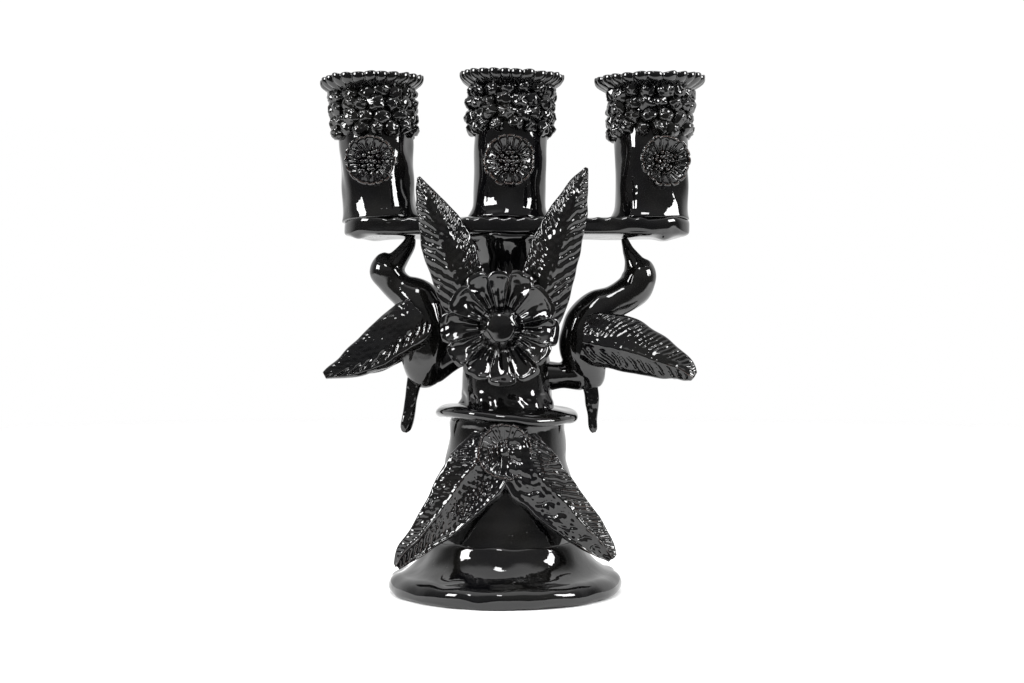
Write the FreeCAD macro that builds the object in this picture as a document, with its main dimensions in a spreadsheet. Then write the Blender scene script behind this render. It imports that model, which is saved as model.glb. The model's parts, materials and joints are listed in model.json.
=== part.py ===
import FreeCAD, Part
import Sketcher
import math
import os
import re

# Tabletop candelabra for three candles, hand built in glazed clay.
# Millimetres, +Z up. The origin lies on the resting face, on the column's axis. The front looks towards -Y.

V = FreeCAD.Vector
UP = V(0, 0, 1)
ACROSS = V(1, 0, 0)
DEEP = V(0, 1, 0)
QUARTER = 90

DRIVING = {
    # wheel-thrown foot, bell, collar and column
    "foot_radius": 69.3, "foot_hole": 38.0, "foot_rim": 4.5, "foot_top": 16.0,
    "bell_foot": 50.0, "bell_waist": 45.5, "bell_waist_height": 27.0, "bell_shoulder": 34.8,
    "bell_shoulder_height": 84.0, "bell_neck": 33.5, "bell_wall": 6.0,
    "collar_radius": 42.7, "collar_thick": 7.0, "collar_height": 105.0, "collar_tilt": 2.3,
    "column_flare": 29.0, "column_low": 26.0, "column_low_height": 120.0, "column_top": 20.5,
    "column_top_height": 186.0, "hollow": 15.0, "neck_mouth": 27.0,
    # slab crossbar
    "bar_under": 211.0, "bar_thick": 11.0, "bar_half_depth": 25.0, "bar_edge": 4.0,
    "bar_left": -97.2, "bar_right": 108.9,
    # candle cups with their drip rims, berry bands and rosettes
    "cup_radius": 21.8, "cup_flare": 24.5, "cup_flare_height": 8.0, "cup_tall": 81.0, "cup_floor": 8.0,
    "cup_sunk": 3.0, "socket_radius": 15.8, "rim_radius": 31.0, "rim_bead": 2.4, "rim_rise": 2.6,
    "rim_scallop": 2.2, "berry_radius": 4.1, "berry_orbit": 23.1, "berry_row_gap": 10.0,
    "berry_top_row": 71.0,
    "rosette_radius": 15.0, "rosette_deep": 8.0, "rosette_height": 32.0, "heart_radius": 5.5,
    "left_cup": -76.2, "centre_cup": 0.6, "right_cup": 86.4,
    "left_lean": -3.2, "centre_lean": 1.6, "right_lean": -0.6, "centre_lift": 2.0, "right_rim_extra": 2.0,
    # flowers
    "flower_radius": 33.0, "flower_deep": 14.0, "flower_height": 156.0, "flower_back": 31.0,
    "flower_offset": -3.5, "boss_radius": 7.8, "posy_radius": 16.5, "posy_deep": 6.0,
    "posy_height": 86.0, "posy_back": 38.5, "posy_boss_radius": 3.3, "petal_stalk": 12.0,
    # leaves, wings and tails, which are all pressed blades
    "blade_thick": 4.4, "wing_root_out": 11.0, "wing_tip_out": 25.0,
    # birds
    "bird_tall": 28.5, "bird_girth": 14.2, "bird_tilt": 10.0, "head_radius": 10.0, "neck_radius": 8.2,
    "beak_radius": 5.0, "strap_thick": 15.0,
}
CUPS = ("left", "centre", "right")
RIM_SCALLOPS = 26
BERRIES_IN_ROW = 17
BERRY_ROWS = 3
ROSETTE_CRIMPS = 16
FLOWER_LOBES = 12
POSY_RIBS = 22

doc = FreeCAD.newDocument("Candelabra")
sheet = doc.addObject("Spreadsheet::Sheet", "Dims")
for row, (alias, value) in enumerate(DRIVING.items(), 1):
    sheet.set(f"A{row}", alias)
    sheet.set(f"B{row}", str(value))
    sheet.setAlias(f"B{row}", alias)
doc.recompute()

nodes = []


def size(formula):
    """The value of a formula on the sheet, in millimetres or degrees."""
    return float(sheet.evalExpression(str(formula)))


def bound(formula):
    """The same formula with each alias read from the sheet, for setExpression."""
    return re.sub(r"[a-z_]+", lambda word: "Dims." + word[0] if word[0] in DRIVING else word[0], str(formula))


def keep(piece, label):
    """Name a finished sub-part and put it on the list of pieces to write."""
    piece.Label = label
    nodes.append(piece)
    return piece


def place(piece, x, y, z, turn=None):
    """Stand a piece at the formulas x, y and z, turned by a rotation about its own origin."""
    piece.Placement = FreeCAD.Placement(V(size(x), size(y), size(z)), turn or FreeCAD.Rotation())
    for side, formula in zip("xyz", (x, y, z)):
        piece.setExpression(f"Placement.Base.{side}", bound(formula))
    return piece


def new_sketch(body, role, name):
    """An empty sketch on one of the body's own origin planes."""
    sketch = body.newObject("Sketcher::SketchObject", name)
    plane = next(feature for feature in body.Origin.OriginFeatures if feature.Role == role)
    sketch.AttachmentSupport = [(plane, "")]
    sketch.MapMode = "FlatFace"
    return sketch


def arc_between(start, end, radius):
    """The short arc from start to end. It bulges to the right of travel, or left if radius is negative."""
    chord = end - start
    right = V(chord.y, -chord.x, 0).normalize() * math.copysign(1, radius)
    half = chord.Length / 2
    rise = abs(radius) - math.sqrt(max(radius * radius - half * half, 0))
    return Part.Arc(start, (start + end) / 2 + right * rise, end)


def closed_outline(body, role, name, outline):
    """A closed sketch through corners given as formulas (across, up) or (across, up, radius of arc to it)."""
    sketch = new_sketch(body, role, name)
    corners = [V(size(corner[0]), size(corner[1]), 0) for corner in outline]
    ends = []
    for index, corner in enumerate(outline):
        start = corners[index - 1]
        end = corners[index]
        curve = arc_between(start, end, size(corner[2])) if len(corner) == 3 else Part.LineSegment(start, end)
        edge = sketch.addGeometry(curve)
        misses = [sketch.getPoint(edge, point).distanceToPoint(end) for point in (1, 2)]
        far = 1 + misses.index(min(misses))
        ends.append((edge, 3 - far, far))
        for kind, formula in zip(("DistanceX", "DistanceY"), corner):
            fixed = sketch.addConstraint(Sketcher.Constraint(kind, -1, 1, edge, far, size(formula)))
            sketch.setExpression(f"Constraints[{fixed}]", bound(formula))
        if len(corner) == 3:
            fixed = sketch.addConstraint(Sketcher.Constraint("Radius", edge, abs(size(corner[2]))))
            sketch.setExpression(f"Constraints[{fixed}]", bound(f"abs({corner[2]})"))
    for (edge, near, _), (before, _, far) in zip(ends, ends[-1:] + ends[:-1]):
        sketch.addConstraint(Sketcher.Constraint("Coincident", before, far, edge, near))
    return sketch


def turned(name, outline):
    """A body turned about its own Z axis from a closed outline of (radius, height) corners."""
    body = doc.addObject("PartDesign::Body", name)
    profile = closed_outline(body, "XZ_Plane", name + "_profile", outline)
    doc.recompute()
    turning = body.newObject("PartDesign::Revolution", name + "_turned")
    turning.Profile = profile
    turning.ReferenceAxis = (profile, ["V_Axis"])
    turning.Angle = 360
    doc.recompute()
    return body


def scalloped(body, orbit, radius, count):
    """Cut count round notches through the edge of a turned body, centred at orbit from its axis."""
    before = body.Shape.Volume
    sketch = new_sketch(body, "XY_Plane", body.Name + "_notch")
    sketch.addGeometry(Part.Circle(V(size(orbit), 0, 0), UP, size(radius)))
    centre_x = sketch.addConstraint(Sketcher.Constraint("DistanceX", -1, 1, 0, 3, size(orbit)))
    sketch.setExpression(f"Constraints[{centre_x}]", bound(orbit))
    sketch.addConstraint(Sketcher.Constraint("PointOnObject", 0, 3, -1))
    notch_radius = sketch.addConstraint(Sketcher.Constraint("Radius", 0, size(radius)))
    sketch.setExpression(f"Constraints[{notch_radius}]", bound(radius))
    doc.recompute()
    notch = body.newObject("PartDesign::Pocket", body.Name + "_notched")
    notch.Profile = sketch
    notch.Type = "ThroughAll"
    notch.Midplane = True
    doc.recompute()
    pattern = body.newObject("PartDesign::PolarPattern", body.Name + "_scallops")
    pattern.Originals = [notch]
    pattern.Axis = (sketch, ["N_Axis"])
    pattern.Angle = 360
    pattern.Occurrences = count
    body.Tip = pattern
    doc.recompute()
    assert body.Shape.Volume < before, body.Name + " has no scallops"
    return body


def trimmed(name, blank, *neighbours):
    """The blank with its neighbours' solids cut away, so that the pieces meet face to face."""
    for index, neighbour in enumerate(neighbours):
        cut = doc.addObject("Part::Cut", f"{name}_trim_{index}")
        cut.Base = blank
        cut.Tool = neighbour
        blank = cut
    doc.recompute()
    return blank


def blade(name, stations, facing, thick="blade_thick"):
    """A pressed blade, lofted through lens sections. Each station is a point and a half width, both formulas.

    The sections stand square to the run from station to station, with their width at right angles to facing.
    """
    points = [V(*(size(value) for value in station[:3])) for station in stations]
    sections = []
    for index, station in enumerate(stations):
        run = points[min(index + 1, len(points) - 1)] - points[max(index - 1, 0)]
        wide = run.cross(facing).normalize() * size(station[3])
        thinned = min(1, 0.45 + wide.Length / size("blade_thick") / 3)
        deep = wide.cross(run).normalize() * (size(thick) / 2 * thinned)
        middle = points[index]
        upper = Part.Arc(middle - wide, middle + deep, middle + wide).toShape()
        lower = Part.Arc(middle + wide, middle - deep, middle - wide).toShape()
        sections.append(Part.Wire([upper, lower]))
    feature = doc.addObject("Part::Feature", name)
    feature.Shape = Part.makeLoft(sections, True)
    feature.Placement = FreeCAD.Placement()
    return feature


def tapering_rod(name, stations):
    """A rolled rod of clay, lofted through discs at points with a radius each, all formulas."""
    points = [V(*(size(value) for value in station[:3])) for station in stations]
    discs = []
    for index, station in enumerate(stations):
        run = points[min(index + 1, len(points) - 1)] - points[max(index - 1, 0)]
        discs.append(Part.Wire(Part.makeCircle(size(station[3]), points[index], run)))
    feature = doc.addObject("Part::Feature", name)
    feature.Shape = Part.makeLoft(discs, True)
    feature.Placement = FreeCAD.Placement()
    return feature


def leaning(side):
    """The turn of a cup about the crossbar's depth."""
    return FreeCAD.Rotation(DEEP, size(side + "_lean"))


# ---- foot, bell, collar, column and neck ----

def make_foot():
    outline = [
        ("foot_hole", "0"),
        ("foot_radius - foot_rim", "0"),
        ("foot_radius", "foot_rim", "foot_rim"),
        ("foot_radius - foot_rim", "2 * foot_rim", "foot_rim"),
        ("bell_foot", "foot_top", "-120"),
        ("foot_hole", "foot_top"),
    ]
    return keep(place(turned("Foot", outline), "0", "0", "0"), "foot_plate")


def make_bell(collar):
    outline = [
        ("bell_foot - 2 * bell_wall", "foot_top"),
        ("bell_foot", "foot_top"),
        ("bell_waist", "bell_waist_height", "-14"),
        ("bell_shoulder", "bell_shoulder_height", "360"),
        ("bell_neck", "collar_height"),
        ("bell_neck - bell_wall", "collar_height"),
        ("bell_shoulder - bell_wall", "bell_shoulder_height"),
        ("bell_waist - bell_wall - 1.5", "bell_waist_height", "-360"),
    ]
    return keep(trimmed("Bell", turned("BellBlank", outline), collar), "base_bell")


def make_collar():
    half = "collar_thick / 2"
    outline = [
        ("hollow - 1", f"-{half}"),
        (f"collar_radius - {half}", f"-{half}"),
        ("collar_radius", "0", half),
        (f"collar_radius - {half}", half, half),
        ("hollow - 1", half),
    ]
    tilt = FreeCAD.Rotation(DEEP, size("collar_tilt"))
    disc = place(turned("Collar", outline), "0", "0", "collar_height", tilt)
    return keep(disc, "collar_disc")


def make_column(collar):
    outline = [
        ("hollow", "collar_height"),
        ("column_flare", "collar_height"),
        ("column_low", "column_low_height", "-40"),
        ("column_top", "column_top_height"),
        ("hollow", "column_top_height"),
    ]
    return keep(trimmed("Column", turned("ColumnBlank", outline), collar), "column")


def make_neck():
    outline = [
        ("hollow", "column_top_height"),
        ("column_top", "column_top_height"),
        ("neck_mouth", "bar_under - 2", "-50"),
        ("neck_mouth", "bar_under"),
        ("hollow", "bar_under"),
    ]
    return keep(turned("Neck", outline), "neck_funnel")


def make_crossbar():
    body = doc.addObject("PartDesign::Body", "Crossbar")
    outline = [
        ("bar_left + bar_half_depth", "-bar_half_depth", "bar_half_depth"),
        ("bar_right - bar_half_depth", "-bar_half_depth"),
        ("bar_right", "0", "bar_half_depth"),
        ("bar_right - bar_half_depth", "bar_half_depth", "bar_half_depth"),
        ("bar_left + bar_half_depth", "bar_half_depth"),
        ("bar_left", "0", "bar_half_depth"),
    ]
    slab_outline = closed_outline(body, "XY_Plane", "CrossbarOutline", outline)
    doc.recompute()
    slab = body.newObject("PartDesign::Pad", "CrossbarSlab")
    slab.Profile = slab_outline
    slab.setExpression("Length", bound("bar_thick"))
    doc.recompute()
    long_edges = [
        f"Edge{number}" for number, edge in enumerate(slab.Shape.Edges, 1)
        if edge.BoundBox.ZLength < 1e-6
    ]
    rounding = body.newObject("PartDesign::Fillet", "CrossbarRounding")
    rounding.Base = (slab, long_edges)
    rounding.setExpression("Radius", bound("bar_edge"))
    doc.recompute()
    return keep(place(body, "0", "0", "bar_under"), "crossbar")


# ---- candle cups ----

def cup_place(piece, side, up="0", out="0"):
    """Stand a piece on one cup's axis: up along the leaning axis from the crossbar, out to the front."""
    lean = f"{side}_lean"
    lift = "centre_lift" if side == "centre" else "0"
    x = f"{side}_cup + ({up} + {lift}) * sin({lean} * 1deg)"
    z = f"bar_under + bar_thick + ({up} + {lift}) * cos({lean} * 1deg)"
    return place(piece, x, f"-({out})", z, leaning(side))


def make_cup(side, crossbar):
    lift = "centre_lift" if side == "centre" else "0"
    outline = [
        ("0", f"-cup_sunk - {lift}"),
        ("cup_flare", f"-cup_sunk - {lift}"),
        ("cup_flare", f"-{lift}"),
        ("cup_radius", "cup_flare_height", "-12"),
        ("cup_radius", "cup_tall"),
        ("socket_radius", "cup_tall"),
        ("socket_radius", "cup_floor"),
        ("0", "cup_floor"),
    ]
    blank = cup_place(turned(f"Cup_{side}", outline), side)
    return keep(trimmed(f"CupSeated_{side}", blank, crossbar), f"candle_cup_{side}")


def make_rim(side):
    extra = "right_rim_extra" if side == "right" else "0"
    edge = f"rim_radius + {extra}"
    outline = [
        ("cup_radius", "cup_tall - 2 * rim_bead"),
        (f"{edge} - rim_bead", "cup_tall + rim_rise - 2 * rim_bead + 0.4", "-40"),
        (edge, "cup_tall + rim_rise - rim_bead + 0.4", "rim_bead + 0.001"),
        (f"{edge} - rim_bead", "cup_tall + rim_rise + 0.4", "rim_bead + 0.001"),
        ("cup_radius", "cup_tall", "60"),
    ]
    orbit = f"{edge} + rim_scallop * 0.55"
    rim = scalloped(turned(f"Rim_{side}", outline), orbit, "rim_scallop", RIM_SCALLOPS)
    return keep(cup_place(rim, side), f"drip_rim_{side}")


def make_berries(side):
    """Three staggered rows of pinched pellets pressed flat on the cup's wall."""
    flat = math.degrees(math.asin(size("(berry_orbit - cup_radius) / berry_radius")))
    pellets = []
    for row in range(BERRY_ROWS):
        height = size(f"berry_top_row - {row} * berry_row_gap")
        for step in range(BERRIES_IN_ROW):
            angle = 2 * math.pi * (step + 0.5 * (row % 2)) / BERRIES_IN_ROW
            out = V(math.cos(angle), math.sin(angle), 0)
            centre = out * size("berry_orbit") + UP * height
            pellets.append(Part.makeSphere(size("berry_radius"), centre, out, -flat, QUARTER, 360))
    feature = doc.addObject("Part::Feature", f"Berries_{side}")
    feature.Shape = Part.makeCompound(pellets)
    return keep(cup_place(feature, side), f"berry_band_{side}")


def outward(side):
    """The turn that points a flower's own +Z at a leaning cup's front, the outer cups' a little outwards."""
    swing = {"left": -7, "centre": 0, "right": 7}[side]
    return leaning(side) * FreeCAD.Rotation(UP, swing) * FreeCAD.Rotation(ACROSS, QUARTER)


def flower_outline(radius, deep, stalk, foot):
    """A shallow bowl of petals on a short stalk, opening towards +Z."""
    return [
        ("0", f"-({foot})"),
        (stalk, f"-({foot})"),
        (stalk, "0"),
        (f"{radius} - 1.2", f"{deep} - 2.4", "90"),
        (radius, f"{deep} - 1.0", "1.5"),
        (f"{radius} - 2.2", deep, "1.5"),
        (f"{stalk} - 2", "3", "-90"),
        ("0", "3"),
    ]


def make_cup_rosette(side, cup):
    outline = flower_outline("rosette_radius", "rosette_deep", "6", "4")
    flower = scalloped(turned(f"Rosette_{side}", outline), "rosette_radius + 0.6", "1.4", ROSETTE_CRIMPS)
    cup_place(flower, side, "rosette_height", "cup_radius - 0.5")
    flower.Placement = FreeCAD.Placement(flower.Placement.Base, outward(side))
    return keep(trimmed(f"RosetteSeated_{side}", flower, cup), f"cup_rosette_{side}")


def dome_outline(radius):
    """A ball's cap with a flat back at height 0. It rises 0.6 of its radius, which sets the ball's radius."""
    return [("0", "0"), (radius, "0"), ("0", f"0.6 * {radius}", f"(1 + 0.6 ^ 2) / (2 * 0.6) * {radius}")]


def make_rosette_heart(side):
    heart = turned(f"Heart_{side}", dome_outline("heart_radius"))
    cup_place(heart, side, "rosette_height", "cup_radius - 0.5 + 3")
    heart.Placement = FreeCAD.Placement(heart.Placement.Base, outward(side))
    return keep(heart, f"rosette_heart_{side}")


# ---- flowers and leaves on the stem ----

def make_flower(column):
    outline = flower_outline("flower_radius", "flower_deep", "petal_stalk", "flower_back - 15")
    flower = scalloped(turned("Flower", outline), "flower_radius + 1.6", "3.2", FLOWER_LOBES)
    place(flower, "flower_offset", "-flower_back", "flower_height", FreeCAD.Rotation(ACROSS, QUARTER))
    return keep(trimmed("FlowerSeated", flower, column), "main_flower")


def make_posy(bell):
    outline = flower_outline("posy_radius", "posy_deep", "6", "posy_back - 30")
    posy = scalloped(turned("Posy", outline), "posy_radius + 0.5", "1.1", POSY_RIBS)
    place(posy, "-1", "-posy_back", "posy_height", FreeCAD.Rotation(ACROSS, QUARTER))
    return keep(trimmed("PosySeated", posy, bell), "base_flower")


def make_boss(label, radius, x, back, z):
    boss = turned(label.title().replace("_", ""), dome_outline(radius))
    return keep(place(boss, x, f"-{back} - 3", z, FreeCAD.Rotation(ACROSS, QUARTER)), label)


def make_upper_leaves(*neighbours):
    """Two feather leaves that rise in a V from behind the flower and pass in front of the crossbar."""
    left = [
        ("-17", "-28", "163", "13"), ("-24", "-30.5", "176", "15"), ("-29.7", "-33.5", "191.5", "14.8"),
        ("-35.8", "-35", "208.5", "13.8"), ("-41", "-36", "221", "10.6"), ("-46.8", "-36.5", "233.4", "5.4"),
        ("-51.4", "-36", "243.7", "0.8"),
    ]
    right = [
        ("16", "-28", "161", "14"), ("20", "-30.5", "173", "15.2"), ("25", "-33.5", "191", "15"),
        ("30.2", "-35", "208.5", "13.8"), ("35.3", "-36", "222", "11"), ("41.9", "-36.5", "241", "4.8"),
        ("46.4", "-36", "248.9", "0.8"),
    ]
    for side, stations in (("left", left), ("right", right)):
        blank = blade(f"UpperLeaf_{side}", stations, DEEP)
        keep(trimmed(f"UpperLeafSeated_{side}", blank, *neighbours), f"upper_leaf_{side}")


def make_base_leaves(*neighbours):
    """Two drooping leaves in an inverted V from behind the small flower, which end over the foot."""
    left = [
        ("-7", "-39", "85", "13"), ("-13", "-40.5", "76.5", "19"), ("-22", "-42.5", "68", "17.5"),
        ("-33", "-44", "53.5", "14.3"), ("-47.5", "-43", "37.5", "9"), ("-57.5", "-40.5", "27.5", "6"),
        ("-62.6", "-37.5", "21.5", "2.4"),
    ]
    right = [
        ("6", "-39", "83", "13"), ("11.6", "-40.5", "75", "18"), ("21", "-42.5", "66", "16"),
        ("34.8", "-44", "51.5", "13.8"), ("45.5", "-43", "41", "10.6"), ("53.6", "-40.5", "33", "7.4"),
        ("60", "-37.5", "25.4", "2.8"),
    ]
    for side, stations in (("left", left), ("right", right)):
        blank = blade(f"BaseLeaf_{side}", stations, DEEP)
        keep(trimmed(f"BaseLeafSeated_{side}", blank, *neighbours), f"base_leaf_{side}")


# ---- birds ----

BIRDS = {
    "left": {
        "body": ("-50", "152"), "tilt": "-0.5 * bird_tilt",
        "head": ("-72.2", "191.2"), "beak": ("-57", "211"),
        "neck": [("-50", "167", "12"), ("-57", "174.5", "neck_radius + 2.6"),
                 ("-64.3", "180.5", "neck_radius + 1.3"), ("-71", "187", "neck_radius + 1.2")],
        "tail": [("-54", "130", "4.8"), ("-57", "121", "4.2"), ("-59.3", "110", "3.6"),
                 ("-61", "95", "2.6")],
        "wing": [("-55", "160", "16"), ("-67.6", "150.4", "14"), ("-79.7", "141.2", "12.9"),
                 ("-90.5", "136.4", "9.1"), ("-100.5", "131.5", "4.6"), ("-106", "128.6", "0.8")],
        "strap": [("-19", "141"), ("-33", "138"), ("-44", "131")],
    },
    "right": {
        "body": ("45.5", "150"), "tilt": "bird_tilt", "head": ("79.4", "188"), "beak": ("70.2", "211"),
        "neck": [("47.5", "163", "12"), ("57.5", "170.7", "neck_radius + 2.8"),
                 ("68.5", "177", "neck_radius + 1.6"), ("77", "183.5", "neck_radius + 1.2")],
        "tail": [("47.5", "128", "5.2"), ("49.6", "119", "4.1"), ("51.5", "108", "2.9"),
                 ("52.8", "94.5", "2.4")],
        "wing": [("51", "152", "16"), ("62.7", "149.3", "15.5"), ("75.3", "144.6", "14.4"),
                 ("87.7", "139.3", "11.9"), ("98", "134.5", "8.4"), ("107", "130", "3.4")],
        "strap": [("19", "129"), ("31", "127.5"), ("42", "129")],
    },
}


def make_bird_body(side, bird):
    egg = doc.addObject("Part::Ellipsoid", f"BirdEgg_{side}")
    egg.setExpression("Radius1", bound("bird_tall"))
    egg.setExpression("Radius2", bound("bird_girth"))
    egg.setExpression("Radius3", bound("bird_girth"))
    x, z = bird["body"]
    place(egg, x, "0", z, FreeCAD.Rotation(DEEP, size(bird["tilt"])))
    doc.recompute()
    return keep(egg, f"bird_body_{side}")


def make_neck_and_head(side, bird, body, crossbar):
    head_x, head_z = bird["head"]
    beak_x, beak_z = bird["beak"]
    head = doc.addObject("Part::Sphere", f"BirdHead_{side}")
    head.setExpression("Radius", bound("head_radius"))
    place(head, head_x, "0", head_z)
    stations = [(x, "0", z, radius) for x, z, radius in bird["neck"]]
    neck = trimmed(f"BirdNeck_{side}", tapering_rod(f"NeckRod_{side}", stations), body, head)
    beak_stations = [(head_x, "0", head_z, "beak_radius"), (beak_x, "0", beak_z, "0.45 * beak_radius")]
    beak = trimmed(f"Beak_{side}", tapering_rod(f"BeakRod_{side}", beak_stations), head, crossbar)
    keep(neck, f"bird_neck_{side}")
    keep(head, f"bird_head_{side}")
    keep(beak, f"bird_beak_{side}")


def make_wings(side, bird, body):
    """The front and the back wing spread outwards and down from the bird's flanks."""
    stations = bird["wing"]
    last = len(stations) - 1
    for way, sign in (("front", "-"), ("back", "")):
        run = [
            (x, f"{sign}(wing_root_out + (wing_tip_out - wing_root_out) * {index} / {last})", z, half)
            for index, (x, z, half) in enumerate(stations)
        ]
        blank = blade(f"Wing_{way}_{side}", run, DEEP)
        keep(trimmed(f"WingSeated_{way}_{side}", blank, body), f"wing_{way}_{side}")


def make_tail(side, bird, body):
    stations = [(x, "0", z, half) for x, z, half in bird["tail"]]
    return keep(trimmed(f"TailSeated_{side}", blade(f"Tail_{side}", stations, DEEP), body), f"tail_{side}")


def make_strap(side, bird, *neighbours):
    """The strap of clay that carries the bird from the column."""
    stations = [(x, "0", z, "strap_thick / 2") for x, z in bird["strap"]]
    blank = tapering_rod(f"Strap_{side}", stations)
    return keep(trimmed(f"StrapSeated_{side}", blank, *neighbours), f"bird_strap_{side}")


def build():
    foot = make_foot()
    collar = make_collar()
    bell = make_bell(collar)
    column = make_column(collar)
    neck = make_neck()
    crossbar = make_crossbar()
    for side in CUPS:
        cup = make_cup(side, crossbar)
        make_rim(side)
        make_berries(side)
        make_cup_rosette(side, cup)
        make_rosette_heart(side)
    flower = make_flower(column)
    make_boss("main_flower_boss", "boss_radius", "flower_offset", "flower_back", "flower_height")
    posy = make_posy(bell)
    make_boss("base_flower_boss", "posy_boss_radius", "-1", "posy_back", "posy_height")
    make_upper_leaves(flower, column, neck, crossbar)
    make_base_leaves(posy, bell, foot)
    for side, bird in BIRDS.items():
        body = make_bird_body(side, bird)
        make_neck_and_head(side, bird, body, crossbar)
        make_wings(side, bird, body)
        tail = make_tail(side, bird, body)
        make_strap(side, bird, column, body, tail)


def write_pieces():
    """Check every object, then write each sub-part to its own file."""
    for item in doc.Objects:
        assert not {"Invalid", "Error"} & set(item.State), f"{item.Label}: {item.State}"
    for piece in nodes:
        assert not piece.Shape.isNull() and piece.Shape.isValid(), piece.Label
        assert piece.Shape.Volume > 1, piece.Label
    os.makedirs("parts", exist_ok=True)
    for piece in nodes:
        piece.Shape.exportStep(f"parts/{piece.Label}.step")
        print(f"{piece.Label:22s} {len(piece.Shape.Solids):3d} solids {piece.Shape.Volume / 1000:9.2f} cm3")


build()
doc.recompute()
write_pieces()
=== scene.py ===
import json
import math
import bmesh
import bpy
import numpy as np
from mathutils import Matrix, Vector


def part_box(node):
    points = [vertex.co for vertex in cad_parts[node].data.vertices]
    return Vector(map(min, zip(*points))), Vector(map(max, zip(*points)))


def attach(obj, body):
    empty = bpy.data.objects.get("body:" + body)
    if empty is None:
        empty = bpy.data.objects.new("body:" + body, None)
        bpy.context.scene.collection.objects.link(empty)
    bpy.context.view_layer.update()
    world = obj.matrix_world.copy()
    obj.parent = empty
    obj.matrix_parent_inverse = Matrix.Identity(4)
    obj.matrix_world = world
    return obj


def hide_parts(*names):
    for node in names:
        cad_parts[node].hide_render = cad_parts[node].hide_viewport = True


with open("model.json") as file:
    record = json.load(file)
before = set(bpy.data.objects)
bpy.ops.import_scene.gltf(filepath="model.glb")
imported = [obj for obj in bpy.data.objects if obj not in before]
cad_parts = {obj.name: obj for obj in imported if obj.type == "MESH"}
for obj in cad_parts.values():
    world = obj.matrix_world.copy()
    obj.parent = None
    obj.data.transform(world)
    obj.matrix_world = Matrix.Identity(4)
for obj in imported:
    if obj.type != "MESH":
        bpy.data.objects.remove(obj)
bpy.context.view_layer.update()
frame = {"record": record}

MM = 0.001

# The saucer foot: thrown on the wheel as a thick open ring with a rolled rim, then wiped with a wet finger.
# Dark clay under a thick black lead glaze, which every piece of the candelabra shares.


def slow_waves(points, size, seed):
    """Smooth unevenness near -1 to 1: a sum of nine sine waves about `size` long, along seeded headings."""
    draw = np.random.default_rng(seed)
    total = 0.0
    for _ in range(9):
        heading = draw.normal(size=3)
        heading *= 2 * math.pi / (size * draw.uniform(0.7, 1.6) * np.linalg.norm(heading))
        total = total + np.sin(points @ heading + draw.uniform(0, 2 * math.pi))
    return total / 3


def by_hand(points, depth, size, seed):
    """Points pushed about by up to depth along three slow waves of their own, as wet clay is by fingers."""
    push = np.stack([slow_waves(points, size, seed + axis) for axis in range(3)], axis=-1)
    return points + depth * push


def through(stops, count):
    """A smooth run of count points through the stops: cubic spans whose slopes are the stops' mean steps."""
    stops = np.asarray(stops, float)
    padded = np.concatenate([[2 * stops[0] - stops[1]], stops, [2 * stops[-1] - stops[-2]]])
    place = np.linspace(0, len(stops) - 1, count)
    span = np.minimum(place.astype(int), len(stops) - 2)
    step = (place - span)[:, None]
    before, start, end, after = (padded[span + shift] for shift in range(4))
    slope_in = (end - before) / 2
    slope_out = (after - start) / 2
    return ((2 * step**3 - 3 * step**2 + 1) * start + (step**3 - 2 * step**2 + step) * slope_in
            + (3 * step**2 - 2 * step**3) * end + (step**3 - step**2) * slope_out)


def rounded(corners, count, cuts=3):
    """A closed outline of count even steps. Every corner is cut at a quarter of its sides, cuts times."""
    loop = np.asarray(corners, float)
    for _ in range(cuts):
        ahead = np.roll(loop, -1, axis=0)
        cut = np.stack([0.75 * loop + 0.25 * ahead, 0.25 * loop + 0.75 * ahead], axis=1)
        loop = cut.reshape(-1, loop.shape[1])
    closed = np.concatenate([loop, loop[:1]])
    along = np.concatenate([[0], np.cumsum(np.linalg.norm(np.diff(closed, axis=0), axis=1))])
    steps = np.linspace(0, along[-1], count, endpoint=False)
    return np.stack([np.interp(steps, along, closed[:, axis]) for axis in range(loop.shape[1])], axis=-1)


def stacked_faces(rows, columns, ring):
    """Four-cornered faces of a grid whose columns join round, and whose rows do too if it is a ring."""
    row = np.arange(rows if ring else rows - 1)[:, None]
    column = np.arange(columns)[None, :]
    next_row = (row + 1) % rows
    next_column = (column + 1) % columns
    return np.stack([row * columns + column, row * columns + next_column,
                     next_row * columns + next_column, next_row * columns + column], axis=-1).reshape(-1, 4)


def skin(name, grids, ring=False, poles=True):
    """One closed piece from grids of points in millimetres.

    Rows that don't ring end in a pole at their middle, unless the end rows are already folded shut on
    themselves and poles is False.
    """
    points = []
    faces = []
    filled = 0
    for grid in grids:
        if poles and not ring:
            first = np.repeat(grid[:1].mean(axis=1, keepdims=True), grid.shape[1], axis=1)
            last = np.repeat(grid[-1:].mean(axis=1, keepdims=True), grid.shape[1], axis=1)
            grid = np.concatenate([first, grid, last])
        points.append(grid.reshape(-1, 3))
        faces.append(stacked_faces(grid.shape[0], grid.shape[1], ring) + filled)
        filled += grid.shape[0] * grid.shape[1]
    mesh = bpy.data.meshes.new(name)
    mesh.from_pydata(np.concatenate(points) * MM, [], np.concatenate(faces))
    clay = bmesh.new()
    clay.from_mesh(mesh)
    bmesh.ops.remove_doubles(clay, verts=clay.verts, dist=0.002 * MM)
    bmesh.ops.recalc_face_normals(clay, faces=clay.faces)
    clay.to_mesh(mesh)
    clay.free()
    mesh.polygons.foreach_set("use_smooth", np.ones(len(mesh.polygons), bool))
    piece = bpy.data.objects.new(name, mesh)
    bpy.context.scene.collection.objects.link(piece)
    return piece


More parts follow.
